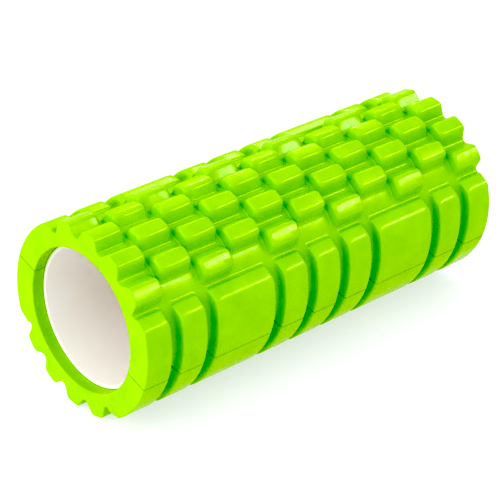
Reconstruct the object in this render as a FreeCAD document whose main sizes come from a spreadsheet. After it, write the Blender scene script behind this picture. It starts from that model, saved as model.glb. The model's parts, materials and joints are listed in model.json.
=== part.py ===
import FreeCAD, Part
import math
import os

import Sketcher

# Massage roller: a rigid hollow core in a moulded foam sleeve with a raised tread.
#
# Frame: origin at the roller's centre, +X along its axis, +Z up. The roller lies on its side.
# The sleeve is two equal half shells, glued to the tube and to each other along two axial seams.
# Each shell is drawn with its seam faces along the plane Z = 0 and its blocks about +Z, and its
# Placement turns it about the axis. Angles in a shell are counted from its own +Z.
#
# The tread stands on a plain round floor. Straight gaps cut it into equal rings along the axis.
# Each half has long strips beside both seams and rows of short blocks between them. Every other
# row has one block less and sits half a block pitch round, so the rows interlock.

# Driving dimensions: lengths in mm, angles in degrees.
DIMENSIONS = [
    ("roller_length", 330.0, "over the foam's flat end faces"),
    ("roller_radius", 70.0, "over the tops of the tread"),
    ("tread_depth", 8.5, "from the top of the tread to its floor"),
    ("tube_radius", 51.8, "outside of the core tube"),
    ("tube_wall", 2.5, "wall of the core tube"),
    ("tube_recess", 9.0, "from a foam end face in to the tube's end"),
    ("tube_chamfer", 0.6, "on the tube's rims"),
    ("bond_thickness", 0.2, "every film of adhesive"),
    ("bond_inset", 0.5, "from the outside of the foam in to the seam's adhesive"),
    ("ring_count", 11, "rings of tread along the roller"),
    ("ring_gap", 8.7, "between two rings"),
    ("lie_angle", 21.0, "turn of the upper shell about the axis, towards -Y"),
    ("strip_start", 53.0, "from the shell's middle to the top edge of a strip's end"),
    ("strip_slope", 7.0, "angle round the shell that the slope of a strip's end takes"),
    ("strip_riser", 3.0, "height of the short riser under that slope"),
    ("block_pitch", 22.1, "angle between two blocks of one ring"),
    ("block_top", 8.0, "angle over a block's top"),
    ("block_foot", 18.0, "angle over a block's foot"),
    ("block_skirt", 2.0, "from a block's top out to its foot, at each axial side"),
]

OUTER_RING_BLOCKS = 4
INNER_RING_BLOCKS = 3
# A strip is wide where it runs on across the gap after this ring, and after one as far from the other end.
WIDE_STRIP_RING = 2

# Formulas that several features share.
FLOOR = "(sizes.roller_radius - sizes.tread_depth)"
FOAM_BORE = "(sizes.tube_radius + sizes.bond_thickness)"
ROOT = f"(({FLOOR} + {FOAM_BORE}) / 2)"
HALF_BOND = "(sizes.bond_thickness / 2)"
FIRST_RING = "(-sizes.roller_length / 2)"
RING_PITCH = "((sizes.roller_length + sizes.ring_gap) / sizes.ring_count)"
RING_WIDTH = f"({RING_PITCH} - sizes.ring_gap)"
WIDE_STRIP_GAP = f"({FIRST_RING} + {WIDE_STRIP_RING + 1} * {RING_PITCH} - sizes.ring_gap)"
WIDE_STRIP_SPACING = f"((sizes.ring_count - {2 * WIDE_STRIP_RING + 2}) * {RING_PITCH})"
TUBE_LENGTH = "(sizes.roller_length - 2 * sizes.tube_recess)"


# ---------------------------------------------------------------- document helpers


def add_sizes(doc):
    """The driving dimensions, one aliased cell each."""
    sheet = doc.addObject("Spreadsheet::Sheet", "sizes")
    for row, (name, value, note) in enumerate(DIMENSIONS, start=1):
        sheet.set(f"A{row}", name)
        sheet.set(f"B{row}", str(value))
        sheet.set(f"C{row}", note)
        sheet.setAlias(f"B{row}", name)
    doc.recompute()
    return sheet


def evaluate(obj, formula):
    """The present value of a formula."""
    result = obj.evalExpression(formula)
    return float(getattr(result, "Value", result))


def bind(obj, **formulas):
    """Bind properties of the object to formulas."""
    for name, formula in formulas.items():
        obj.setExpression(name, formula)


def add_body(doc, name, turn=None):
    """An empty body named after its node, turned about the roller's axis by a formula's angle."""
    body = doc.addObject("PartDesign::Body", name)
    body.Label = name
    if turn:
        body.Placement = FreeCAD.Placement(
            FreeCAD.Vector(0, 0, 0), FreeCAD.Rotation(FreeCAD.Vector(1, 0, 0), evaluate(body, turn))
        )
        body.setExpression(".Placement.Rotation.Angle", turn)
    return body


def origin_feature(body, role):
    """The body's own plane or axis with that role."""
    return next(item for item in body.Origin.OriginFeatures if item.Role == role)


def add_feature(body, kind, name, **properties):
    """A new PartDesign feature with the given properties."""
    feature = body.newObject(f"PartDesign::{kind}", name)
    for key, value in properties.items():
        setattr(feature, key, value)
    return feature


def add_pattern(body, name, original, steps):
    """Repeat a feature through the given transformations, as the body's new tip."""
    pattern = add_feature(body, "MultiTransform", name, Originals=[original], Transformations=steps)
    body.Tip = pattern
    return pattern


def add_row(body, name, count, spacing):
    """Copies along the roller: a step for add_pattern."""
    axis = (origin_feature(body, "X_Axis"), [""])
    row = add_feature(body, "LinearPattern", name, Direction=axis, Mode="Spacing")
    bind(row, Occurrences=count, Offset=spacing)
    return row


def add_turns(body, name, count, spacing):
    """Copies round the roller: a step for add_pattern."""
    axis = (origin_feature(body, "X_Axis"), [""])
    turns = add_feature(body, "PolarPattern", name, Axis=axis, Mode="Spacing", Occurrences=count)
    bind(turns, Offset=spacing)
    return turns


def add_mirror(body, name):
    """A copy on the other side of the shell's middle: a step for add_pattern."""
    plane = (origin_feature(body, "XZ_Plane"), [""])
    return add_feature(body, "Mirrored", name, MirrorPlane=plane)


# ---------------------------------------------------------------- sketch helpers

HORIZONTAL_AXIS = -1
VERTICAL_AXIS = -2
START = 1
END = 2
CENTRE = 3


def add_sketch(body, name, plane):
    """An empty sketch on one of the body's own planes."""
    sketch = body.newObject("Sketcher::SketchObject", name)
    sketch.AttachmentSupport = [(origin_feature(body, plane), "")]
    sketch.MapMode = "FlatFace"
    return sketch


def shift_sketch(sketch, distance):
    """Move a sketch of the YZ plane along the roller."""
    sketch.setExpression(".AttachmentOffset.Base.z", distance)


def sketch_point(x, y):
    """A point of the sketch plane."""
    return FreeCAD.Vector(x, y, 0)


def polar_point(radius, angle):
    """The point at that radius, with its angle counted from the sketch's upright axis."""
    return sketch_point(radius * math.sin(math.radians(angle)), radius * math.cos(math.radians(angle)))


def add_arc(sketch, radius, start, end):
    """An arc about the origin from the point at the first angle back to the one at the second."""
    circle = Part.Circle(sketch_point(0, 0), FreeCAD.Vector(0, 0, 1), evaluate(sketch, radius))
    arc = sketch.addGeometry(Part.ArcOfCircle(circle, math.radians(90 - start), math.radians(90 - end)))
    sketch.addConstraint(Sketcher.Constraint("Coincident", arc, CENTRE, HORIZONTAL_AXIS, START))
    drive(sketch, radius, "Radius", arc)
    return arc


def add_line(sketch, start, end):
    """A straight edge between two points."""
    return sketch.addGeometry(Part.LineSegment(start, end))


def join(sketch, *ends):
    """Make two ends of edges meet."""
    sketch.addConstraint(Sketcher.Constraint("Coincident", *ends))


def drive(sketch, formula, kind, *geometry):
    """Give the geometry a size and bind the size to a formula."""
    value = evaluate(sketch, formula)
    index = sketch.addConstraint(Sketcher.Constraint(kind, *geometry, value))
    sketch.setExpression(f"Constraints[{index}]", formula)


def drive_point(sketch, edge, end, x=None, y=None):
    """Fix one or both coordinates of an edge's end from the origin."""
    if x:
        drive(sketch, x, "DistanceX", HORIZONTAL_AXIS, START, edge, end)
    if y:
        drive(sketch, y, "DistanceY", HORIZONTAL_AXIS, START, edge, end)


def add_rectangle(sketch, left, right, bottom, top):
    """An upright rectangle between four formulas."""
    x0, x1 = evaluate(sketch, left), evaluate(sketch, right)
    y0, y1 = evaluate(sketch, bottom), evaluate(sketch, top)
    corners = [sketch_point(x0, y0), sketch_point(x1, y0), sketch_point(x1, y1), sketch_point(x0, y1)]
    edges = [add_line(sketch, corners[i], corners[(i + 1) % 4]) for i in range(4)]
    for here, there in zip(edges, edges[1:] + edges[:1]):
        join(sketch, here, END, there, START)
    for edge, kind in zip(edges, ("Horizontal", "Vertical", "Horizontal", "Vertical")):
        sketch.addConstraint(Sketcher.Constraint(kind, edge))
    drive_point(sketch, edges[0], START, x=left, y=bottom)
    drive_point(sketch, edges[2], START, x=right, y=top)


def add_half_ring(sketch, outer, inner):
    """The upper half of a ring between two radii, cut off half a film above its seam plane."""
    angle = 90 - math.degrees(math.asin(evaluate(sketch, HALF_BOND) / evaluate(sketch, inner)))
    outside = add_arc(sketch, outer, angle, -angle)
    inside = add_arc(sketch, inner, angle, -angle)
    inner_radius, outer_radius = evaluate(sketch, inner), evaluate(sketch, outer)
    right = add_line(sketch, polar_point(inner_radius, angle), polar_point(outer_radius, angle))
    left = add_line(sketch, polar_point(outer_radius, -angle), polar_point(inner_radius, -angle))
    join(sketch, right, END, outside, START)
    join(sketch, outside, END, left, START)
    join(sketch, left, END, inside, END)
    join(sketch, inside, START, right, START)
    for edge in (right, left):
        sketch.addConstraint(Sketcher.Constraint("Horizontal", edge))
    drive_point(sketch, outside, START, y=HALF_BOND)
    drive_point(sketch, outside, END, y=HALF_BOND)


# ---------------------------------------------------------------- the core tube


def build_core_tube(doc):
    """A plain tube, shorter than the foam, with its rims chamfered."""
    body = add_body(doc, "core_tube")
    section = add_sketch(body, "tube_section", "YZ_Plane")
    for radius in ("sizes.tube_radius", "(sizes.tube_radius - sizes.tube_wall)"):
        circle = Part.Circle(sketch_point(0, 0), FreeCAD.Vector(0, 0, 1), evaluate(section, radius))
        index = section.addGeometry(circle)
        section.addConstraint(Sketcher.Constraint("Coincident", index, CENTRE, HORIZONTAL_AXIS, START))
        drive(section, radius, "Radius", index)
    tube = add_feature(body, "Pad", "tube", Profile=section, SideType="Symmetric")
    bind(tube, Length=TUBE_LENGTH)
    doc.recompute()
    rims = [
        f"Edge{number}"
        for number, edge in enumerate(tube.Shape.Edges, start=1)
        if edge.Closed and isinstance(edge.Curve, Part.Circle)
    ]
    chamfer = add_feature(body, "Chamfer", "rims", Base=(tube, rims))
    bind(chamfer, Size="sizes.tube_chamfer")
    return body


# ---------------------------------------------------------------- the foam shells


def draw_strip(body, name, start):
    """The section of a strip, from the seam round to its sloped end, rooted in the sleeve."""
    sketch = add_sketch(body, name, "YZ_Plane")
    shift_sketch(sketch, start)
    slope_foot = "(sizes.strip_start - sizes.strip_slope)"
    riser_top = f"({FLOOR} + sizes.strip_riser)"
    top_angle, foot_angle = evaluate(sketch, "sizes.strip_start"), evaluate(sketch, slope_foot)
    radius, root = evaluate(sketch, "sizes.roller_radius"), evaluate(sketch, ROOT)
    seam = 90 - math.degrees(evaluate(sketch, HALF_BOND) / root)
    outside = add_arc(sketch, "sizes.roller_radius", seam, top_angle)
    inside = add_arc(sketch, ROOT, seam, foot_angle)
    step = polar_point(evaluate(sketch, riser_top), foot_angle)
    slope = add_line(sketch, polar_point(radius, top_angle), step)
    riser = add_line(sketch, step, polar_point(root, foot_angle))
    seam_edge = add_line(sketch, polar_point(root, seam), polar_point(radius, seam))
    join(sketch, seam_edge, END, outside, START)
    join(sketch, outside, END, slope, START)
    join(sketch, slope, END, riser, START)
    join(sketch, riser, END, inside, END)
    join(sketch, inside, START, seam_edge, START)
    sketch.addConstraint(Sketcher.Constraint("Horizontal", seam_edge))
    drive_point(sketch, outside, START, y=HALF_BOND)
    drive_point(sketch, outside, END, x="sizes.roller_radius * sin(sizes.strip_start)")
    step_x, step_y = f"{riser_top} * sin({slope_foot})", f"{riser_top} * cos({slope_foot})"
    drive_point(sketch, riser, START, x=step_x, y=step_y)
    drive_point(sketch, riser, END, x=f"{ROOT} * sin({slope_foot})")
    return sketch


def add_strips(body):
    """Strips on every ring and on both sides, and the bridges that make some of them wide."""
    section = draw_strip(body, "strip_section", FIRST_RING)
    strip = add_feature(body, "Pad", "strip", Profile=section)
    bind(strip, Length=RING_WIDTH)
    along = add_row(body, "strip_rings", "sizes.ring_count", RING_PITCH)
    add_pattern(body, "strips", strip, [along, add_mirror(body, "strip_sides")])

    bridge_section = draw_strip(body, "bridge_section", WIDE_STRIP_GAP)
    bridge = add_feature(body, "Pad", "bridge", Profile=bridge_section)
    bind(bridge, Length="sizes.ring_gap")
    along = add_row(body, "bridge_gaps", "2", WIDE_STRIP_SPACING)
    add_pattern(body, "bridges", bridge, [along, add_mirror(body, "bridge_sides")])


def draw_block_level(body, name, height, half_width, left, right, angle):
    """One level of a block: a rectangle at that height, swung about the roller's axis."""
    sketch = add_sketch(body, name, "XY_Plane")
    swing = FreeCAD.Rotation(FreeCAD.Vector(1, 0, 0), -evaluate(sketch, angle))
    sketch.AttachmentOffset = FreeCAD.Placement(FreeCAD.Vector(0, 0, 0), swing)
    sketch.setExpression(".AttachmentOffset.Rotation.Angle", f"-{angle}")
    sketch.setExpression(".AttachmentOffset.Base.y", f"{height} * sin({angle})")
    sketch.setExpression(".AttachmentOffset.Base.z", f"{height} * cos({angle})")
    add_rectangle(sketch, left, right, f"-{half_width}", half_width)
    return sketch


def add_block(body, name, blocks, start, left_skirt, right_skirt):
    """The first block of a ring: a loft from its foot, sunk a little in the sleeve, to its top.

    The ring starts at `start`. Its blocks are centred on the shell's middle, and this one is the
    furthest towards the shell's own +Y. The top is as wide as the ring and its corners lie on the
    roller's radius. The foot reaches into the gaps beside the ring by the skirts.
    """
    angle = f"({(blocks - 1) / 2} * sizes.block_pitch)"
    foot_height = f"({FLOOR} * cos(sizes.block_foot / 2))"
    foot_half = f"({FLOOR} * sin(sizes.block_foot / 2))"
    top_height = "(sizes.roller_radius * cos(sizes.block_top / 2))"
    top_half = "(sizes.roller_radius * sin(sizes.block_top / 2))"
    end = f"({start} + {RING_WIDTH})"
    foot_start, foot_end = f"({start} - {left_skirt})", f"({end} + {right_skirt})"
    foot = draw_block_level(body, f"{name}_foot", foot_height, foot_half, foot_start, foot_end, angle)
    top = draw_block_level(body, f"{name}_top", top_height, top_half, start, end, angle)
    return add_feature(body, "AdditiveLoft", name, Profile=foot, Sections=[top], Ruled=True)


def add_blocks(body):
    """Rows of blocks: the two end rings flush with the end faces, and the rings between."""
    skirt = "sizes.block_skirt"
    second_ring = f"({FIRST_RING} + {RING_PITCH})"
    third_ring = f"({FIRST_RING} + 2 * {RING_PITCH})"
    last_ring = f"({FIRST_RING} + (sizes.ring_count - 1) * {RING_PITCH})"
    outer_rings, inner_rings = "((sizes.ring_count - 3) / 2)", "((sizes.ring_count - 1) / 2)"
    rows = [
        ("near_end_block", OUTER_RING_BLOCKS, FIRST_RING, "0", skirt, None),
        ("far_end_block", OUTER_RING_BLOCKS, last_ring, skirt, "0", None),
        ("outer_block", OUTER_RING_BLOCKS, third_ring, skirt, skirt, outer_rings),
        ("inner_block", INNER_RING_BLOCKS, second_ring, skirt, skirt, inner_rings),
    ]
    for name, blocks, start, left_skirt, right_skirt, rings in rows:
        block = add_block(body, name, blocks, start, left_skirt, right_skirt)
        steps = [add_turns(body, f"{name}_turns", blocks, "sizes.block_pitch")]
        if rings:
            steps.append(add_row(body, f"{name}_rings", rings, f"2 * {RING_PITCH}"))
        add_pattern(body, f"{name}s", block, steps)


def build_foam_shell(doc, name, turn):
    """Half of the sleeve with its tread."""
    body = add_body(doc, name, turn)
    section = add_sketch(body, "sleeve_section", "YZ_Plane")
    add_half_ring(section, FLOOR, FOAM_BORE)
    sleeve = add_feature(body, "Pad", "sleeve", Profile=section, SideType="Symmetric")
    bind(sleeve, Length="sizes.roller_length")
    add_strips(body)
    add_blocks(body)
    return body


# ---------------------------------------------------------------- the adhesive films


def build_tube_bond(doc, name, turn):
    """The film between the tube and one shell."""
    body = add_body(doc, name, turn)
    section = add_sketch(body, "film_section", "YZ_Plane")
    add_half_ring(section, FOAM_BORE, "sizes.tube_radius")
    film = add_feature(body, "Pad", "film", Profile=section, SideType="Symmetric")
    bind(film, Length=TUBE_LENGTH)
    return body


def add_film(body, name, left, right, bottom, top):
    """A flat piece of film in the seam plane, between four formulas."""
    outline = add_sketch(body, f"{name}_outline", "XY_Plane")
    add_rectangle(outline, left, right, bottom, top)
    film = add_feature(body, "Pad", name, Profile=outline, SideType="Symmetric")
    bind(film, Length="sizes.bond_thickness")
    return film


def build_seam_bond(doc, name, turn):
    """The film in one axial seam: over the sleeve's wall, with a tongue in each strip of the tread."""
    body = add_body(doc, name, turn)
    inset = "sizes.bond_inset"
    start, end = f"({FIRST_RING} + {inset})", f"(-{FIRST_RING} - {inset})"
    tongue_top = f"(sizes.roller_radius - {inset})"
    tongue_end = f"({FIRST_RING} + {RING_WIDTH} - {inset})"
    bridge_start = f"({WIDE_STRIP_GAP} - {inset})"
    bridge_end = f"({WIDE_STRIP_GAP} + sizes.ring_gap + {inset})"

    add_film(body, "wall", start, end, "sizes.tube_radius", f"({FLOOR} - {inset})")
    tongue = add_film(body, "tongue", start, tongue_end, ROOT, tongue_top)
    add_pattern(body, "tongues", tongue, [add_row(body, "tongue_rings", "sizes.ring_count", RING_PITCH)])
    bridge = add_film(body, "bridge", bridge_start, bridge_end, ROOT, tongue_top)
    add_pattern(body, "bridges", bridge, [add_row(body, "bridge_gaps", "2", WIDE_STRIP_SPACING)])
    return body


# ---------------------------------------------------------------- the whole roller


def build_roller(doc):
    """Every piece, in the order of assembly."""
    upper, lower = "sizes.lie_angle", "(sizes.lie_angle + 180)"
    return [
        build_core_tube(doc),
        build_tube_bond(doc, "tube_bond_upper", upper),
        build_tube_bond(doc, "tube_bond_lower", lower),
        build_foam_shell(doc, "foam_shell_upper", upper),
        build_foam_shell(doc, "foam_shell_lower", lower),
        build_seam_bond(doc, "seam_bond_back", upper),
        build_seam_bond(doc, "seam_bond_front", lower),
    ]


def check(doc, bodies):
    """Stop at any failed feature, or at a piece that isn't one valid solid."""
    for obj in doc.Objects:
        if {"Invalid", "Error"} & set(obj.State):
            raise RuntimeError(f"{obj.Name} failed: {obj.State}")
    for body in bodies:
        if body.Shape.isNull() or not body.Shape.isValid() or len(body.Shape.Solids) != 1:
            raise RuntimeError(f"{body.Label} is not one valid solid")
        print(f"{body.Label}: {body.Shape.Volume / 1000:.2f} cm3, {len(body.Shape.Faces)} faces")


def main():
    doc = FreeCAD.newDocument("roller")
    add_sizes(doc)
    bodies = build_roller(doc)
    doc.recompute()
    check(doc, bodies)
    os.makedirs("parts", exist_ok=True)
    for body in bodies:
        body.Shape.exportStep(f"parts/{body.Label}.step")


main()
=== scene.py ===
"""Looks of a hollow massage roller: a white core tube in a two-part moulded foam sleeve.

Everything is in metres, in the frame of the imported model: +X along the roller's axis, +Z up.
The sleeve is two equal half shells. Each is worked out in its own frame, with its blocks about
its own +Z and its seam faces on the plane Z = 0, and is then turned about the axis into place.
"""

import json
import logging
import math
from dataclasses import dataclass, field
from enum import Enum

import bpy
import numpy as np
from mathutils import Matrix, Vector
from numpy.typing import NDArray


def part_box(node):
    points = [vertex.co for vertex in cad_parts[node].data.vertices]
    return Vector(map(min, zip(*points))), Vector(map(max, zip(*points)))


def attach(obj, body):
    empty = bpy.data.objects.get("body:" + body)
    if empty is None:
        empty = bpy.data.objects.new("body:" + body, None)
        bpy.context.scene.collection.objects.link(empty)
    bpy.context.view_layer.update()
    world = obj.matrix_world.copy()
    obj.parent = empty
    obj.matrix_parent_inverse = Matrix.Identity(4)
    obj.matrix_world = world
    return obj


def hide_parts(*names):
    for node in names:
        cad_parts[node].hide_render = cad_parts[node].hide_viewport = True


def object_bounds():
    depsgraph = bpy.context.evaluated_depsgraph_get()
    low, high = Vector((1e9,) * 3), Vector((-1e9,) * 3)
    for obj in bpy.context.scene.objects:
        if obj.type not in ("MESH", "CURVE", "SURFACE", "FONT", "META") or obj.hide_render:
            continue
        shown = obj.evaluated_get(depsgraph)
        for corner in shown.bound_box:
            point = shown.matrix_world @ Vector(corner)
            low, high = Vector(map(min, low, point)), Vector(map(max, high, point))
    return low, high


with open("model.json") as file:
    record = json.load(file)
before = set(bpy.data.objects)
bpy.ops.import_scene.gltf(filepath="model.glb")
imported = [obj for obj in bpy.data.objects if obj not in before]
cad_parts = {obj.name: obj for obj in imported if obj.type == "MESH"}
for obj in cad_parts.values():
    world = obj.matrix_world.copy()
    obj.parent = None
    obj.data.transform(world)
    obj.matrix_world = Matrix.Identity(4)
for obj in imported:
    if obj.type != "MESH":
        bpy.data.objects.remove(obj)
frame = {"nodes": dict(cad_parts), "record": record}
CAD_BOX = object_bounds()

Array = NDArray[np.float64]
Colour = tuple[float, float, float]
Socket = bpy.types.NodeSocket
Material = bpy.types.Material

MM = 0.001
FACET_ERROR = 0.1 * MM
ROOT_BODY = "root"
PATTERN_LOW = 0.3
PATTERN_HIGH = 0.7
LOG = logging.getLogger("roller")


# ---------------------------------------------------------------- named options


class Half(Enum):
    """The two halves of the foam sleeve: the CAD node and its turn from the upper half."""

    UPPER = ("foam_shell_upper", 0.0)
    LOWER = ("foam_shell_lower", math.pi)

    @property
    def node(self) -> str:
        """The CAD node that this half stands for."""
        return self.value[0]

    @property
    def turn(self) -> float:
        """How far round the axis this half sits from the upper one, in radians."""
        return self.value[1]


class Slot(Enum):
    """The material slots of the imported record."""

    FOAM = "foam"
    CORE = "core_plastic"
    ADHESIVE = "adhesive"


# ---------------------------------------------------------------- finishes


class Shading:
    """A new node material with a Principled shader, and short ways to add nodes to it."""

    def __init__(self, name: str) -> None:
        """Make the material.

        Args:
            name: the material's name.
        """
        self.material = bpy.data.materials.new(name)
        self.material.use_nodes = True
        self.tree = self.material.node_tree
        self.shader = self.tree.nodes["Principled BSDF"]
        self.place = self.tree.nodes.new("ShaderNodeTexCoord").outputs["Object"]

    def link(self, source: Socket, target: Socket) -> None:
        """Join two sockets."""
        self.tree.links.new(source, target)

    def noise(self, grain: float, detail: float = 2.0,
              stretch: tuple[float, float, float] = (1.0, 1.0, 1.0)) -> Socket:
        """A cloudy pattern on the piece's own place.

        Args:
            grain: the size of one patch, in metres.
            detail: how many finer layers lie over it.
            stretch: how much longer a patch is along X, Y and Z.

        Returns:
            The pattern's value, about 0.5 with a spread of about 0.15.
        """
        mapping = self.tree.nodes.new("ShaderNodeMapping")
        mapping.inputs["Scale"].default_value = [1 / (grain * share) for share in stretch]
        self.link(self.place, mapping.inputs["Vector"])
        texture = self.tree.nodes.new("ShaderNodeTexNoise")
        texture.inputs["Scale"].default_value = 1.0
        texture.inputs["Detail"].default_value = detail
        self.link(mapping.outputs["Vector"], texture.inputs["Vector"])
        return texture.outputs["Fac"]

    def spread(self, value: Socket, low: float, high: float) -> Socket:
        """Carry a pattern from its usual range to another range.

        Args:
            value: the pattern.
            low: the result at the usual range's low end.
            high: the result at its high end.

        Returns:
            The new value.
        """
        node = self.tree.nodes.new("ShaderNodeMapRange")
        node.inputs["From Min"].default_value = PATTERN_LOW
        node.inputs["From Max"].default_value = PATTERN_HIGH
        node.inputs["To Min"].default_value = low
        node.inputs["To Max"].default_value = high
        self.link(value, node.inputs["Value"])
        return node.outputs["Result"]

    def blend(self, value: Socket, first: Colour, second: Colour) -> Socket:
        """A colour between two, by a pattern.

        Args:
            value: 0 gives the first colour and 1 the second.
            first: linear red, green and blue.
            second: linear red, green and blue.

        Returns:
            The colour.
        """
        node = self.tree.nodes.new("ShaderNodeMix")
        node.data_type = "RGBA"
        node.inputs["A"].default_value = (*first, 1.0)
        node.inputs["B"].default_value = (*second, 1.0)
        self.link(value, node.inputs["Factor"])
        return node.outputs["Result"]

    def relief(self, height: Socket, depth: float, under: Socket | None = None) -> Socket:
        """A fine relief.

        Args:
            height: the pattern that gives the height, 0 to 1.
            depth: the height in metres that a whole step of the pattern stands for.
            under: the relief that this one lies on.

        Returns:
            The bent normal.
        """
        node = self.tree.nodes.new("ShaderNodeBump")
        node.inputs["Distance"].default_value = depth
        self.link(height, node.inputs["Height"])
        if under is not None:
            self.link(under, node.inputs["Normal"])
        return node.outputs["Normal"]

    def set(self, **values: float) -> None:
        """Set numbers on the shader's own sockets, with _ for a space in a socket's name."""
        for name, value in values.items():
            self.shader.inputs[name.replace("_", " ")].default_value = value


@dataclass(frozen=True)
class FoamSkin:
    """Moulded closed-cell foam with a smooth skin: lime green, half gloss, finely grained."""

    deep: Colour = (0.312, 0.608, 0.002)
    light: Colour = (0.354, 0.662, 0.004)
    cloud: float = 16 * MM
    swell: float = 11 * MM
    swell_depth: float = 0.16 * MM
    grain: float = 0.55 * MM
    grain_depth: float = 0.008 * MM
    roughness: tuple[float, float] = (0.20, 0.30)
    ior: float = 1.45
    specular: float = 0.4

    def material(self) -> Material:
        """The foam's material."""
        shading = Shading("foam_skin")
        clouds = shading.spread(shading.noise(self.cloud, detail=3.0), 0.0, 1.0)
        shading.link(shading.blend(clouds, self.deep, self.light), shading.shader.inputs["Base Color"])
        smudges = shading.spread(shading.noise(self.swell / 2, detail=4.0), *self.roughness)
        shading.link(smudges, shading.shader.inputs["Roughness"])
        swell = shading.relief(shading.noise(self.swell, detail=1.0), self.swell_depth)
        grain = shading.relief(shading.noise(self.grain), self.grain_depth, swell)
        shading.link(grain, shading.shader.inputs["Normal"])
        shading.set(IOR=self.ior, Specular_IOR_Level=self.specular)
        return shading.material


@dataclass(frozen=True)
class CorePlastic:
    """Extruded white plastic with a satin surface and faint draw lines along the tube."""

    shade: Colour = (0.945, 0.895, 0.860)
    light: Colour = (0.965, 0.930, 0.910)
    cloud: float = 30 * MM
    line: float = 0.9 * MM
    line_stretch: float = 160.0
    line_depth: float = 0.01 * MM
    roughness: tuple[float, float] = (0.38, 0.50)
    ior: float = 1.5
    specular: float = 0.4

    def material(self) -> Material:
        """The core's material."""
        shading = Shading("core_plastic")
        clouds = shading.spread(shading.noise(self.cloud, detail=3.0), 0.0, 1.0)
        shading.link(shading.blend(clouds, self.shade, self.light), shading.shader.inputs["Base Color"])
        lines = shading.noise(self.line, detail=3.0, stretch=(self.line_stretch, 1.0, 1.0))
        shading.link(shading.spread(lines, *self.roughness), shading.shader.inputs["Roughness"])
        shading.link(shading.relief(lines, self.line_depth), shading.shader.inputs["Normal"])
        shading.set(IOR=self.ior, Specular_IOR_Level=self.specular)
        return shading.material


@dataclass(frozen=True)
class CuredAdhesive:
    """Contact adhesive, set: dull, a little darker than the foam and finely lumpy."""

    deep: Colour = (0.19, 0.45, 0.004)
    light: Colour = (0.25, 0.53, 0.006)
    lump: float = 1.2 * MM
    lump_depth: float = 0.05 * MM
    roughness: tuple[float, float] = (0.45, 0.65)

    def material(self) -> Material:
        """The adhesive's material."""
        shading = Shading("cured_adhesive")
        lumps = shading.noise(self.lump, detail=3.0)
        colour = shading.blend(shading.spread(lumps, 0.0, 1.0), self.deep, self.light)
        shading.link(colour, shading.shader.inputs["Base Color"])
        shading.link(shading.spread(lumps, *self.roughness), shading.shader.inputs["Roughness"])
        shading.link(shading.relief(lumps, self.lump_depth), shading.shader.inputs["Normal"])
        return shading.material


@dataclass(frozen=True)
class StudioPaper:
    """Plain white paper on a light table, so it glows a little."""

    shade: Colour = (0.39, 0.39, 0.40)
    light: Colour = (0.41, 0.41, 0.41)
    cloud: float = 0.4
    glow: Colour = (0.93, 0.90, 1.0)
    glow_strength: float = 0.68
    roughness: float = 0.9
    specular: float = 0.1

    def material(self) -> Material:
        """The floor's material."""
        shading = Shading("studio_paper")
        clouds = shading.spread(shading.noise(self.cloud), 0.0, 1.0)
        shading.link(shading.blend(clouds, self.shade, self.light), shading.shader.inputs["Base Color"])
        shading.shader.inputs["Emission Color"].default_value = (*self.glow, 1.0)
        shading.set(Roughness=self.roughness, Specular_IOR_Level=self.specular,
                    Emission_Strength=self.glow_strength)
        return shading.material


# ---------------------------------------------------------------- surfaces


def round_cut(first: Array, second: Array, radius: float) -> Array:
    """Two distances cut to what lies inside both, with their edge rounded.

    The larger distance counts. Where both are within the radius, the length of the pair
    (distance + radius) less the radius counts, which is an arc of that radius.

    Args:
        first: distances to one surface, negative inside.
        second: distances to the other.
        radius: the edge's radius.

    Returns:
        The distances to the rounded whole.
    """
    length = np.hypot(np.maximum(first + radius, 0), np.maximum(second + radius, 0))
    return np.minimum(np.maximum(first, second), -radius) + length


def round_join(first: Array, second: Array, radius: float) -> Array:
    """Two distances joined to what lies inside either, with a fillet where they meet.

    The smaller distance counts. Where both are within the radius, the radius less the length
    of the pair (radius - distance) counts, which is an arc of that radius.

    Args:
        first: distances to one surface, negative inside.
        second: distances to the other.
        radius: the fillet's radius.

    Returns:
        The distances to the joined whole.
    """
    length = np.hypot(np.maximum(radius - first, 0), np.maximum(radius - second, 0))
    return np.maximum(np.minimum(first, second), radius) - length


def beside_line(across: Array, up: Array, foot: Array, top: Array) -> Array:
    """How far points lie on the outer side of a sloping line.

    The outer side is to the right of the way from foot to top: the distance is the part of
    (point - foot) along the line's direction turned a quarter clockwise.

    Args:
        across: the points' first coordinate.
        up: the points' second coordinate.
        foot: one point of the line.
        top: another point of it.

    Returns:
        The distances, negative on the inner side.
    """
    run, rise = (top - foot) / np.linalg.norm(top - foot)
    return (across - foot[0]) * rise - (up - foot[1]) * run


def polar(radius: float, angle: float) -> Array:
    """The point at a radius and an angle from up, as (across, up)."""
    return radius * np.array([math.sin(angle), math.cos(angle)])


def make_piece(name: str, points: Array, faces: list, normals: Array,
               material: Material) -> bpy.types.Object:
    """A mesh object at the origin, smooth, with a normal given for each point.

    Args:
        name: the piece's name.
        points: one row for each vertex.
        faces: the corners of each face, outside seen anticlockwise.
        normals: one row for each vertex.
        material: the finish.

    Returns:
        The object, linked to the scene.
    """
    mesh = bpy.data.meshes.new(name)
    mesh.from_pydata(points, [], faces)
    mesh.shade_smooth()
    mesh.normals_split_custom_set_from_vertices(normals)
    mesh.materials.append(material)
    piece = bpy.data.objects.new(name, mesh)
    bpy.context.scene.collection.objects.link(piece)
    return piece


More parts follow.
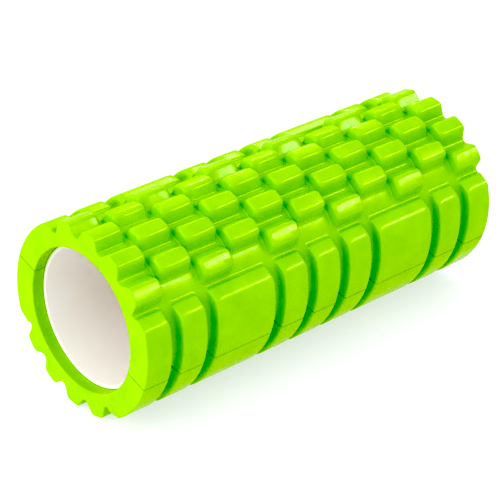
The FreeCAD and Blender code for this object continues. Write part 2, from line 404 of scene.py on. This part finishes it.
def loop_faces(around: int, along: int, closed: bool) -> Array:
    """The four-cornered faces of a grid whose first direction closes on itself.

    The vertex at (i, j) has number i * along + j.

    Args:
        around: points in each closed loop.
        along: loops.
        closed: whether the last loop joins the first one too.

    Returns:
        One row of four vertex numbers for each face.
    """
    i, j = np.meshgrid(np.arange(around), np.arange(along if closed else along - 1), indexing="ij")
    next_i, next_j = (i + 1) % around, (j + 1) % along
    corners = [i * along + j, i * along + next_j, next_i * along + next_j, next_i * along + j]
    return np.stack([corner.ravel() for corner in corners], axis=1)


# ---------------------------------------------------------------- the foam sleeve


@dataclass(frozen=True)
class Tread:
    """The raised pattern of one half shell, as a distance field.

    Points are (along, across, up) in the shell's own frame. Angles are counted from up.
    A strip's angles are counted from the shell's middle, and a block's from its own.
    """

    length: float
    radius: float
    bore: float
    depth: float = 8.5 * MM
    half_bond: float = 0.1 * MM
    ring_count: int = 11
    ring_gap: float = 8.7 * MM
    wide_rings: tuple[int, ...] = (2, 7)
    strip_top: float = math.radians(53.0)
    strip_foot: float = math.radians(46.0)
    strip_riser: float = 3.0 * MM
    strip_lean: float = 0.4 * MM
    block_pitch: float = math.radians(22.1)
    block_top: float = math.radians(4.75)
    block_foot: float = math.radians(9.5)
    block_reach: float = 3.2 * MM
    block_lean: float = 1.0 * MM
    even_blocks: int = 4
    odd_blocks: int = 3
    block_edge: float = 2.0 * MM
    block_corner: float = 3.2 * MM
    strip_edge: float = 1.4 * MM
    strip_corner: float = 2.8 * MM
    riser_edge: float = 1.0 * MM
    foot_fillet: float = 1.0 * MM
    riser_fillet: float = 2.0 * MM
    end_edge: float = 0.9 * MM
    rim_edge: float = 0.8 * MM
    seam_edge: float = 0.1 * MM
    probe: float = 0.002 * MM
    settle_steps: int = 8
    least_square: float = 0.25

    @property
    def floor(self) -> float:
        """The radius of the tread's floor."""
        return self.radius - self.depth

    @property
    def pitch(self) -> float:
        """From one ring to the next."""
        return (self.length + self.ring_gap) / self.ring_count

    @property
    def ring_width(self) -> float:
        """The width of one ring, from gap to gap."""
        return self.pitch - self.ring_gap

    def ring_centre(self, ring: Array) -> Array:
        """Where a ring's middle lies along the roller."""
        return -self.length / 2 + self.ring_width / 2 + ring * self.pitch

    def ring_at(self, along: Array) -> Array:
        """The number of the nearest ring."""
        steps = (along - self.ring_centre(0)) / self.pitch
        return np.clip(np.rint(steps), 0, self.ring_count - 1)

    def block_centre(self, ring: Array, angle: Array) -> Array:
        """The angle of the nearest block of a ring.

        The blocks of a ring are evenly spaced about the middle, four on an even ring and
        three on an odd one, so the nearest is the angle rounded to a whole step.
        """
        count = np.where(ring % 2 == 0, self.even_blocks, self.odd_blocks)
        first = (count - 1) / 2
        return (np.clip(np.rint(angle / self.block_pitch + first), 0, count - 1) - first) * self.block_pitch

    def end_wall(self, along: Array, height: Array, middle: Array, half: Array | float,
                 lean: float) -> Array:
        """The distance to the end walls of a strip or block.

        The wall leans in by `lean` from the floor to the top. The two outermost walls of
        the roller are left to its end faces, so they count as far away.

        Args:
            along: the points' place along the roller.
            height: their height over the tread's floor.
            middle: the middle of the strip or block.
            half: half its width at the foot.
            lean: how far a wall leans in.

        Returns:
            The distances, negative inside.
        """
        wall = (np.abs(along - middle) - half) * self.depth + height * lean
        outermost = np.abs(middle + np.sign(along - middle) * half) > self.length / 2 - self.ring_gap / 2
        return np.where(outermost, -self.ring_width, wall / math.hypot(self.depth, lean))

    def blocks(self, along: Array, radius: Array, angle: Array) -> Array:
        """The distance to the nearest block: four leaning sides and a round top."""
        ring = self.ring_at(along)
        turn = np.abs(angle - self.block_centre(ring, angle))
        foot, top = polar(self.floor, self.block_foot), polar(self.radius, self.block_top)
        side = beside_line(radius * np.sin(turn), radius * np.cos(turn), foot, top)
        half = self.ring_width / 2 + self.block_reach
        end = self.end_wall(along, radius - self.floor, self.ring_centre(ring), half, self.block_lean)
        return round_cut(round_cut(side, end, self.block_corner), radius - self.radius, self.block_edge)

    def strips(self, along: Array, radius: Array, angle: Array) -> Array:
        """The distance to the nearest strip: a riser, a slope, two end walls and a round top."""
        ring = self.ring_at(along)
        first = np.isin(ring, self.wide_rings)
        second = np.isin(ring - 1, self.wide_rings)
        middle = self.ring_centre(ring + first / 2 - second / 2)
        half = self.ring_width / 2 + (first | second) * self.pitch / 2
        across, up = radius * np.abs(np.sin(angle)), radius * np.cos(angle)
        foot = polar(self.floor + self.strip_riser, self.strip_foot)
        slope = -beside_line(across, up, foot, polar(self.radius, self.strip_top))
        riser = -beside_line(across, up, np.zeros(2), foot)
        end = self.end_wall(along, radius - self.floor, middle, half, self.strip_lean)
        sides = round_cut(round_cut(riser, slope, self.riser_edge), end, self.strip_corner)
        return round_cut(sides, radius - self.radius, self.strip_edge)

    def distance(self, points: Array) -> Array:
        """How far points lie outside the half shell.

        Blocks and strips are joined to the round floor, and the whole is cut by the end
        faces, the bore and the seam plane, with every edge rounded.

        Args:
            points: one row (along, across, up) for each point.

        Returns:
            The distances, negative inside.
        """
        along, across, up = points.T
        radius, angle = np.hypot(across, up), np.arctan2(across, up)
        with_strips = round_join(self.strips(along, radius, angle), radius - self.floor, self.riser_fillet)
        skin = round_join(self.blocks(along, radius, angle), with_strips, self.foot_fillet)
        capped = round_cut(skin, np.abs(along) - self.length / 2, self.end_edge)
        hollow = round_cut(capped, self.bore - radius, self.rim_edge)
        return round_cut(hollow, self.half_bond - up, self.seam_edge)

    def slope(self, points: Array) -> Array:
        """The way in which the distance grows fastest, from small steps along each axis."""
        steps = self.probe * np.eye(3)
        ways = [self.distance(points + step) - self.distance(points - step) for step in steps]
        return np.stack(ways, axis=1) / (2 * self.probe)

    def settle(self, points: Array) -> Array:
        """Points brought onto the surface.

        Each step moves a point against the slope by its distance over the slope's length.

        Args:
            points: points near the surface.

        Returns:
            Points on it.
        """
        for _ in range(self.settle_steps):
            slope = self.slope(points)
            square = np.maximum((slope**2).sum(axis=1), self.least_square)
            points = points - (self.distance(points) / square)[:, None] * slope
        return points


@dataclass
class FoamShell:
    """One half of the foam sleeve, as a closed skin on a grid that follows its edges.

    For each angle round the shell a closed loop runs along the outside, down one end face,
    back through the bore and up the other end face. The two seam faces close the grid.

    The grid's lines are placed by `rise`, shares of a wall's height, and by distances beyond a
    wall's top or foot, in from an end face, up from the bore and beside a seam. The angles
    over which a wall goes from a block's to a strip's are given as `near_strip`, in radians.
    """

    half: Half
    tread: Tread
    lie: float
    material: Material
    rise: Array = field(default_factory=lambda: np.array([0, 0.05, 0.12, 0.35, 0.65, 0.86, 0.94, 1.0]))
    beyond_top: Array = field(default_factory=lambda: np.array([0.5, 1.2, 2.2]) * MM)
    beyond_foot: Array = field(default_factory=lambda: np.array([0.4, 0.9]) * MM)
    beyond_seam: Array = field(default_factory=lambda: np.array([0, 0.15, 0.4, 1.0]) * MM)
    before_riser: Array = field(default_factory=lambda: np.array([9, 5, 3, 2, 1]))
    riser_spread: int = 3
    arc_step: float = math.radians(3.0)
    least_step: float = math.radians(0.1)
    step_slack: float = 0.9
    inner_share: float = 0.33
    near_strip: tuple[float, float] = (0.06, 0.02)
    face_inset: Array = field(default_factory=lambda: np.array([0.4, 0.9, 2.0]) * MM)
    lip: Array = field(default_factory=lambda: np.array([2.0, 0.9, 0.4, 0]) * MM)
    bore_inset: Array = field(default_factory=lambda: np.array([0.4, 0.9, 2.0, 12.0, 80.0]) * MM)

    def angle_lines(self) -> Array:
        """The angles of the grid's lines, but for those at the seams.

        They lie close together over every side of every block and over the slope of each
        strip, and evenly between. Lines closer than the least step count once.
        """
        tread = self.tread
        sides = np.concatenate([
            tread.block_foot - (tread.block_foot - tread.block_top) * self.rise,
            tread.block_top - self.beyond_top / tread.radius,
            tread.block_foot + self.beyond_foot / tread.floor,
        ])
        columns = tread.even_blocks + tread.odd_blocks
        middles = np.arange(columns) - (columns - 1) / 2
        blocks = middles[:, None] * tread.block_pitch / 2 + np.concatenate([-sides, [0], sides])
        strip = np.concatenate([
            tread.strip_foot - self.least_step * self.before_riser,
            tread.strip_foot + (tread.strip_top - tread.strip_foot) * self.rise,
            tread.strip_top + self.beyond_top / tread.radius,
            np.arange(tread.strip_top + self.arc_step, math.pi / 2 - self.arc_step / 2, self.arc_step),
        ])
        lines = np.sort(np.concatenate([-strip, blocks.ravel(), strip]))
        return lines[np.append(True, np.diff(lines) > self.least_step * self.step_slack)]

    def block_height(self, angle: Array, odd: bool) -> Array:
        """How high the sides of a ring's blocks reach at each angle, 0 at the floor to 1."""
        tread = self.tread
        turn = np.abs(angle - tread.block_centre(np.full_like(angle, odd), angle))
        return np.clip((tread.block_foot - turn) / (tread.block_foot - tread.block_top), 0, 1)

    def strip_height(self, angle: Array) -> Array:
        """How high a strip's riser and slope reach at each angle, 0 at the floor to 1."""
        tread = self.tread
        places = [tread.strip_foot - self.least_step * self.riser_spread, tread.strip_foot, tread.strip_top]
        return np.interp(np.abs(angle), places, [0, tread.strip_riser / tread.depth, 1])

    def outside(self, angle: Array) -> tuple[Array, Array]:
        """The grid's points on the outside, before its edges are rounded.

        Each ring has lines up both its walls, over its top and over the floor beside it. A
        line's height is the lower of the wall's and the block's or strip's own side. Each row
        holds a line's place, the side its wall faces, its share of the wall's height, whether
        a wide strip bridges it, and its ring.

        Args:
            angle: the angle of each line round the shell.

        Returns:
            Places along the roller and radii, one row for each line round the roller.
        """
        tread = self.tread
        width, gap = tread.ring_width, tread.ring_gap
        feet, tops = len(self.beyond_foot), len(self.beyond_top)
        shares = np.concatenate([np.zeros(feet), self.rise, np.ones(tops)])
        inset = np.concatenate([-self.beyond_foot[::-1], np.zeros(len(self.rise)), self.beyond_top])
        inner = self.inner_share * width / 2
        rows = []
        for ring in range(tread.ring_count):
            for side in (-1, 1):
                edge = tread.ring_centre(ring) + side * width / 2
                at_end = abs(edge) > tread.length / 2 - gap / 2
                wall_shares = np.ones(tops + 1) if at_end else shares
                wall_inset = np.append(0, self.beyond_top) if at_end else inset
                facing = 0 if at_end else side
                bridged = ring in tread.wide_rings if side > 0 else ring - 1 in tread.wide_rings
                ones = np.ones(len(wall_shares))
                wall = np.stack([edge - side * wall_inset, facing * ones, wall_shares,
                                 bridged * ones, ring * ones], axis=1)
                rows.append(wall[::-side])
                if side < 0:
                    places = tread.ring_centre(ring) + np.array([-inner, inner])
                    rows.append(np.array([[place, 0, 1, 0, ring] for place in places]))
                elif not at_end:
                    rows.append(np.array([[edge + gap / 2, 0, 0, bridged, ring]]))
        place, facing, share, bridged, ring = np.concatenate(rows).T[:, :, None]
        before = [tread.strip_foot - ahead for ahead in self.near_strip]
        as_strip = np.interp(np.abs(angle), before, [0, 1])
        block_out = tread.block_reach - tread.block_lean * share
        out = (1 - as_strip) * block_out - as_strip * tread.strip_lean * share
        sides = np.where(ring % 2 == 0, self.block_height(angle, False), self.block_height(angle, True))
        blocks = np.minimum(share, sides)
        strips = np.minimum(np.maximum(share, bridged), self.strip_height(angle))
        return place + facing * out, tread.floor + tread.depth * np.maximum(blocks, strips)

    def loops(self, angle: Array) -> tuple[Array, Array]:
        """The whole grid before rounding: the outside, an end face, the bore, the other end face.

        Args:
            angle: the angle of each line round the shell.

        Returns:
            Places along the roller and radii, one row for each line round the roller.
        """
        tread = self.tread
        place, radius = self.outside(angle)
        end = tread.length / 2
        face = np.concatenate([
            radius[-1] - self.face_inset[:, None],
            ((radius[-1] + tread.bore) / 2)[None],
            (tread.bore + self.lip[:, None]) * np.ones_like(angle),
        ])
        bore_places = np.concatenate([end - self.bore_inset, [0], self.bore_inset[::-1] - end])
        inside = bore_places[:, None] * np.ones_like(angle)
        face_place = np.full_like(face, end)
        return (
            np.concatenate([place, face_place, inside, -face_place]),
            np.concatenate([radius, face, np.full_like(inside, tread.bore), face[::-1]]),
        )

    def build(self) -> bpy.types.Object:
        tread = self.tread
        lines = self.angle_lines()
        seam = self.beyond_seam + tread.half_bond
        beside_seam = np.arccos(seam / tread.radius)
        angle = np.concatenate([-beside_seam, lines, beside_seam[::-1]])
        place, radius = self.loops(angle)
        turn = np.broadcast_to(angle, radius.shape).copy()
        count = len(seam)
        turn[:, :count] = -np.arccos(seam / radius[:, :count])
        turn[:, -count:] = np.arccos(seam[::-1] / radius[:, -count:])
        own = np.stack([place, radius * np.sin(turn), radius * np.cos(turn)], axis=-1).reshape(-1, 3)
        own = tread.settle(own)
        miss = np.abs(tread.distance(own)).max()
        normals = tread.slope(own)
        normals /= np.linalg.norm(normals, axis=1, keepdims=True)

        around, along = radius.shape
        faces = loop_faces(around, along, closed=False)
        first = np.arange(around) * along
        caps = [first[::-1].tolist(), (first + along - 1).tolist()]
        piece = make_piece(
            self.half.node.replace("foam_shell", "foam_sleeve"),
            self.turned(own), faces.tolist() + caps, self.turned(normals), self.material,
        )
        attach(piece, ROOT_BODY)
        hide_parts(self.half.node)
        LOG.info("%s: %d points, off its surface by at most %.4f mm", piece.name, len(own), miss / MM)
        return piece

    def turned(self, own: Array) -> Array:
        """Rows (along, across, up) of the shell's own frame, turned about the axis into place."""
        turn = self.lie + self.half.turn
        along, across, up = own.T
        back = -(across * math.cos(turn) + up * math.sin(turn))
        return np.stack([along, back, up * math.cos(turn) - across * math.sin(turn)], axis=1)


# ---------------------------------------------------------------- the core


@dataclass
class CoreTube:
    """The white tube: a wall with rounded rims, turned about the axis."""

    length: float
    outer: float
    inner: float
    material: Material
    rim_edge: float = 0.5 * MM
    segments: int = 256
    rim_steps: int = 6
    wall_steps: int = 12

    def profile(self) -> tuple[Array, Array, Array]:
        """The wall's section: four straight sides joined by quarter circles at its corners.

        Each corner's arc is centre + radius * (cos a, sin a) over a quarter turn.

        Returns:
            Places along, radii, and the angle of the outward normal from +X, in order.
        """
        half, edge = self.length / 2, self.rim_edge
        quarter = np.linspace(0, math.pi / 2, self.rim_steps)
        corners = [
            (half, self.outer, 0), (-half, self.outer, 1),
            (-half, self.inner, 2), (half, self.inner, 3),
        ]
        arcs = []
        for place, radius, turn in corners:
            angle = quarter + turn * math.pi / 2
            centre_place = place - math.copysign(edge, place)
            centre_radius = radius + (edge if turn > 1 else -edge)
            arcs.append((centre_place + edge * np.cos(angle), centre_radius + edge * np.sin(angle), angle))
        between = np.linspace(half, -half, self.wall_steps + 2)[1:-1]
        over = (between, np.full(self.wall_steps, self.outer), np.full(self.wall_steps, math.pi / 2))
        under = (-between, np.full(self.wall_steps, self.inner), np.full(self.wall_steps, -math.pi / 2))
        order = [arcs[0], over, arcs[1], arcs[2], under, arcs[3]]
        return tuple(np.concatenate([part[k] for part in order]) for k in range(3))

    def build(self) -> bpy.types.Object:
        place, radius, normal = self.profile()
        angle = np.arange(self.segments) * 2 * math.pi / self.segments
        across, up = np.sin(angle), np.cos(angle)
        ones = np.ones_like(angle)

        def swept(along: Array, out: Array) -> Array:
            """Rows for every point of the section at every angle."""
            grid = [np.outer(along, ones), np.outer(out, across), np.outer(out, up)]
            return np.stack(grid, axis=-1).reshape(-1, 3)

        faces = loop_faces(len(place), self.segments, closed=True)
        piece = make_piece("core", swept(place, radius), faces.tolist(),
                           swept(np.cos(normal), np.sin(normal)), self.material)
        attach(piece, ROOT_BODY)
        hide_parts("core_tube")
        LOG.info("%s: %d points", piece.name, len(piece.data.vertices))
        return piece


@dataclass
class AdhesiveFilms:
    """The films between the tube, the two shells and each other, as the CAD has them."""

    material: Material
    nodes: tuple[str, ...] = ("tube_bond_upper", "tube_bond_lower", "seam_bond_front", "seam_bond_back")

    def dress(self) -> None:
        """Give each film's CAD node the adhesive's finish."""
        for name in self.nodes:
            node = frame["nodes"][name]
            node.data.materials.clear()
            node.data.materials.append(self.material)
            LOG.info("%s: dressed", name)


# ---------------------------------------------------------------- the studio


def towards(azimuth: float, elevation: float) -> Vector:
    """The way from the roller to a place in the studio.

    Args:
        azimuth: in degrees, 0 towards -Y and 90 towards +X.
        elevation: in degrees, up from level.

    Returns:
        The way, of length one.
    """
    turn, rise = math.radians(azimuth), math.radians(elevation)
    return Vector((math.sin(turn) * math.cos(rise), -math.cos(turn) * math.cos(rise), math.sin(rise)))


@dataclass(frozen=True)
class SoftBox:
    """A rectangular studio light that faces the roller."""

    name: str
    azimuth: float
    elevation: float
    distance: float
    size: tuple[float, float]
    power: float
    colour: Colour = (1.0, 1.0, 1.0)
    gloss_only: bool = False

    def build(self) -> None:
        """Hang the light and turn it to face the roller."""
        way = towards(self.azimuth, self.elevation)
        light = bpy.data.lights.new(self.name, "AREA")
        light.shape = "RECTANGLE"
        light.size, light.size_y = self.size
        light.energy = self.power
        light.color = self.colour
        lamp = bpy.data.objects.new(self.name, light)
        lamp.location = way * self.distance
        lamp.rotation_euler = (-way).to_track_quat("-Z", "Y").to_euler()
        lamp.visible_camera = False
        lamp.visible_diffuse = not self.gloss_only
        bpy.context.scene.collection.objects.link(lamp)


@dataclass
class Studio:
    """The floor, the lights, the surroundings and the camera."""

    floor_height: float
    paper: Material
    floor_half: float = 6.0
    floor_steps: int = 25
    camera_azimuth: float = -42.54
    camera_elevation: float = 27.43
    camera_distance: float = 1.4849
    camera_aim: tuple[float, float] = (-8.27 * MM, -3.96 * MM)
    lens: float = 149.69
    sensor: float = 36.0
    room: Colour = (0.97, 1.0, 1.0)
    horizon: float = 1.21
    zenith: float = 1.31
    ramp: tuple[float, float] = (0.20, 0.55)
    black_level: float = 0.207
    boxes: tuple[SoftBox, ...] = (
        SoftBox("left_box", -95.0, 24.0, 1.8, (1.2, 0.9), 12.0, (1.0, 0.97, 0.93)),
        SoftBox("front_strip", 45.0, 31.7, 1.9, (1.0, 0.34), 15.0, gloss_only=True),
        SoftBox("back_strip", 134.0, 34.0, 1.9, (0.5, 0.10), 2.4, gloss_only=True),
    )

    def floor(self) -> None:
        """A flat square of paper under the roller."""
        line = np.linspace(-self.floor_half, self.floor_half, self.floor_steps)
        x, y = np.meshgrid(line, line, indexing="ij")
        points = np.stack([x.ravel(), y.ravel(), np.full(x.size, self.floor_height)], axis=1)
        first = np.arange(self.floor_steps - 1)
        corner = (first[:, None] * self.floor_steps + first).ravel()
        beyond = corner + self.floor_steps
        faces = np.stack([corner, beyond, beyond + 1, corner + 1], axis=1)
        normals = np.tile([0.0, 0.0, 1.0], (len(points), 1))
        make_piece("paper_floor", points, faces.tolist(), normals, self.paper)

    def surroundings(self) -> None:
        """An even white room, a little brighter overhead, with a plain white backdrop.

        The room's strength goes from the horizon's to the zenith's as the height of the way
        looked in, 0 to 1, crosses the ramp.
        """
        world = bpy.data.worlds.new("white_room")
        world.use_nodes = True
        nodes, links = world.node_tree.nodes, world.node_tree.links
        backdrop = nodes.new("ShaderNodeBackground")
        backdrop.inputs["Color"].default_value = (1, 1, 1, 1)
        room = nodes["Background"]
        room.inputs["Color"].default_value = (*self.room, 1)
        way = nodes.new("ShaderNodeTexCoord").outputs["Generated"]
        split = nodes.new("ShaderNodeSeparateXYZ")
        links.new(way, split.inputs["Vector"])
        height = nodes.new("ShaderNodeMapRange")
        height.interpolation_type = "SMOOTHSTEP"
        height.inputs["From Min"].default_value = self.ramp[0]
        height.inputs["From Max"].default_value = self.ramp[1]
        height.inputs["To Min"].default_value = self.horizon
        height.inputs["To Max"].default_value = self.zenith
        links.new(split.outputs["Z"], height.inputs["Value"])
        links.new(height.outputs["Result"], room.inputs["Strength"])
        seen = nodes.new("ShaderNodeLightPath").outputs["Is Camera Ray"]
        mix = nodes.new("ShaderNodeMixShader")
        links.new(seen, mix.inputs["Fac"])
        links.new(room.outputs["Background"], mix.inputs[1])
        links.new(backdrop.outputs["Background"], mix.inputs[2])
        links.new(mix.outputs["Shader"], nodes["World Output"].inputs["Surface"])
        bpy.context.scene.world = world

    def camera(self) -> None:
        """The camera, level, with its aim moved a little to frame the roller."""
        back = towards(self.camera_azimuth, self.camera_elevation)
        right = Vector((0, 0, 1)).cross(back).normalized()
        up = back.cross(right)
        data = bpy.data.cameras.new("studio_camera")
        data.lens, data.sensor_width = self.lens, self.sensor
        camera = bpy.data.objects.new("studio_camera", data)
        camera.matrix_world = Matrix((right, up, back)).transposed().to_4x4()
        aim = right * self.camera_aim[0] + up * self.camera_aim[1]
        camera.location = back * self.camera_distance + aim
        bpy.context.scene.collection.objects.link(camera)
        bpy.context.scene.camera = camera

    def build(self) -> None:
        """Set up the whole studio."""
        self.floor()
        self.surroundings()
        for box in self.boxes:
            box.build()
        self.camera()
        self.grade()

    def grade(self) -> None:
        """Plain colours with a raised black level, for deep shade in the tread's grooves."""
        view = bpy.context.scene.view_settings
        view.view_transform = "Standard"
        view.use_curve_mapping = True
        view.curve_mapping.black_level = (self.black_level,) * 3


# ---------------------------------------------------------------- the roller


def seam_turn() -> float:
    """The upper shell's turn about the axis: a quarter turn less than the front seam's angle."""
    low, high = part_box("seam_bond_front")
    middle = (low + high) / 2
    return math.atan2(-middle.y, middle.z) - math.pi / 2


def nearest(value: float, step: float) -> float:
    """A length to the nearest whole step, which takes off the facets' error."""
    return round(value / step) * step


def main() -> None:
    """Build the pieces in order, then the studio round them."""
    logging.basicConfig(level=logging.INFO, format="%(name)s: %(message)s")
    shell_low, shell_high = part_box(Half.UPPER.node)
    tube_low, tube_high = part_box("core_tube")
    bond_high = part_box("tube_bond_upper")[1]
    mounts = {mount["name"]: mount for mount in frame["record"]["mounts"]}
    tread = Tread(
        length=shell_high.x - shell_low.x,
        radius=nearest(-shell_low.y, FACET_ERROR),
        bore=nearest(bond_high.z, FACET_ERROR),
    )
    foam = FoamSkin().material()
    for half in Half:
        FoamShell(half, tread, seam_turn(), foam).build()
    CoreTube(
        length=tube_high.x - tube_low.x,
        outer=nearest(tube_high.z, FACET_ERROR),
        inner=mounts["core_bore"]["dims"]["r_mm"] * MM,
        material=CorePlastic().material(),
    ).build()
    AdhesiveFilms(CuredAdhesive().material()).dress()
    Studio(floor_height=CAD_BOX[0].z, paper=StudioPaper().material()).build()


if __name__ == "__main__":
    main()
